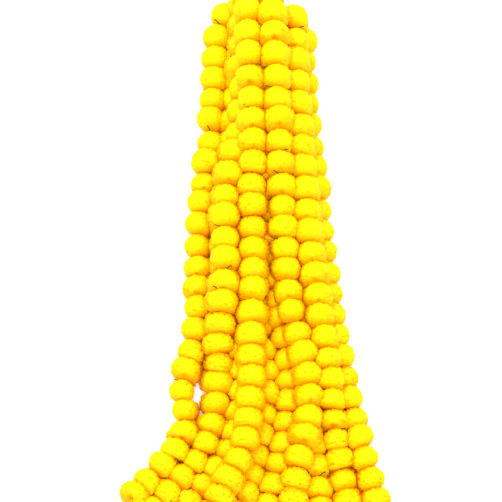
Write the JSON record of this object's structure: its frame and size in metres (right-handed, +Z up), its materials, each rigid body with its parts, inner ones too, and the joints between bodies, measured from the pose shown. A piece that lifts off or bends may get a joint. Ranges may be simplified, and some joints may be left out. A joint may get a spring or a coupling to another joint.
{
  "type": "marigold garland",
  "caption": "Bunch of threaded yellow marigold heads, gathered at one knot and laid down with its lower ends spread out.",
  "frame": {"origin": "on the surface it lies on, under the middle of its box", "axes": "+Y along the garland from its spread ends to the knot, +Z up from the surface"},
  "size_m": [0.5906, 1.2792, 0.1487],
  "materials": {
    "petals": "matte",
    "cotton": "matte"
  },
  "bodies": {
    "root": {"strand_01_blooms": "petals", "strand_02_blooms": "petals", "strand_03_blooms": "petals", "strand_04_blooms": "petals", "strand_05_blooms": "petals", "strand_06_blooms": "petals", "strand_07_blooms": "petals", "strand_08_blooms": "petals", "strand_09_blooms": "petals", "strand_10_blooms": "petals", "strand_01_thread": "cotton", "strand_02_thread": "cotton", "strand_03_thread": "cotton", "strand_04_thread": "cotton", "strand_05_thread": "cotton", "strand_06_thread": "cotton", "strand_07_thread": "cotton", "strand_08_thread": "cotton", "strand_09_thread": "cotton", "strand_10_thread": "cotton", "gathering_knot": "cotton"}
  },
  "joints": []
}
